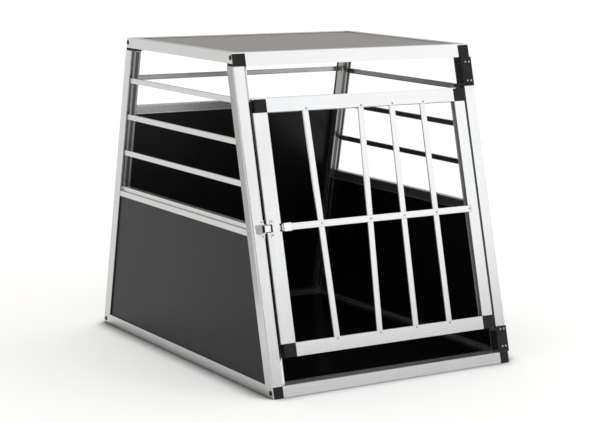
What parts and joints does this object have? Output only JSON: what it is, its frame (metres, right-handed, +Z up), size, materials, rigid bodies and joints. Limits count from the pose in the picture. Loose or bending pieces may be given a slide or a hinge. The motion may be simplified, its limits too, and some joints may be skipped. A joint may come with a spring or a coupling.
{
  "type": "kennel cage",
  "caption": "Aluminium-framed kennel cage with a sloping front and back, black panels, open bars on the sides and a hinged barred front door with a sliding bolt.",
  "frame": {"origin": "on the floor at the middle of the footprint", "axes": "+X to the right as seen from the door, +Y from the door to the back wall, +Z up"},
  "size_m": [0.6512, 0.84, 0.736],
  "materials": {
    "aluminium": "satin anodised",
    "black_plastic": "moulded, fine texture",
    "wall_panel": "dark laminate, satin",
    "floor_panel": "black laminate, semi-gloss",
    "roof_panel": "dark grey laminate, satin",
    "chrome": "plated",
    "steel": "zinc plated",
    "rubber": "matt"
  },
  "bodies": {
    "frame": {"rail_foot_left": "aluminium", "rail_foot_right": "aluminium", "rail_foot_front": "aluminium", "rail_foot_back": "aluminium", "rail_roof_left": "aluminium", "rail_roof_right": "aluminium", "rail_roof_front": "aluminium", "rail_roof_back": "aluminium", "post_front_left": "aluminium", "post_front_right": "aluminium", "post_back_left": "aluminium", "post_back_right": "aluminium", "corner_foot_front_left": "black_plastic", "corner_foot_front_right": "black_plastic", "corner_foot_back_left": "black_plastic", "corner_foot_back_right": "black_plastic", "corner_roof_front_left": "black_plastic", "corner_roof_front_right": "black_plastic", "corner_roof_back_left": "black_plastic", "corner_roof_back_right": "black_plastic", "mid_rail_left": "aluminium", "mid_rail_right": "aluminium", "mid_rail_back": "aluminium", "side_bar_left_1": "aluminium", "side_bar_left_2": "aluminium", "side_bar_left_3": "aluminium", "side_bar_right_1": "aluminium", "side_bar_right_2": "aluminium", "side_bar_right_3": "aluminium", "back_bar": "aluminium", "side_panel_left": "wall_panel", "side_panel_right": "wall_panel", "back_panel": "wall_panel", "floor_panel": "floor_panel", "roof_panel": "roof_panel", "corner_plugs": "black_plastic", "frame_screws": "steel", "door_seals": "rubber", "hinge_bracket_upper": "black_plastic", "hinge_bracket_lower": "black_plastic", "hinge_rivets": "steel", "hinge_pins": "steel", "latch_keeper": "chrome"},
    "door": {"door_rail_upper": "aluminium", "door_rail_lower": "aluminium", "door_stile_left": "aluminium", "door_stile_right": "aluminium", "door_corner_upper_left": "black_plastic", "door_corner_upper_right": "black_plastic", "door_corner_lower_left": "black_plastic", "door_corner_lower_right": "black_plastic", "door_bar_1": "aluminium", "door_bar_2": "aluminium", "door_bar_3": "aluminium", "door_bar_4": "aluminium", "door_crossbar": "aluminium", "door_rivets": "steel", "latch_cover": "chrome"},
    "bolt": {"latch_bolt": "chrome"}
  },
  "joints": [
    {"name": "door_hinge", "type": "hinge", "parent": "frame", "child": "door", "pos_m": [0.281, -0.32565, 0.3575], "axis": [0, 0.25, 0.9683], "range_deg": [0, 115]},
    {"name": "bolt_slide", "type": "slide", "parent": "door", "child": "bolt", "axis": [-1, 0, 0], "range_m": [-0.01, 0.0045]}
  ]
}
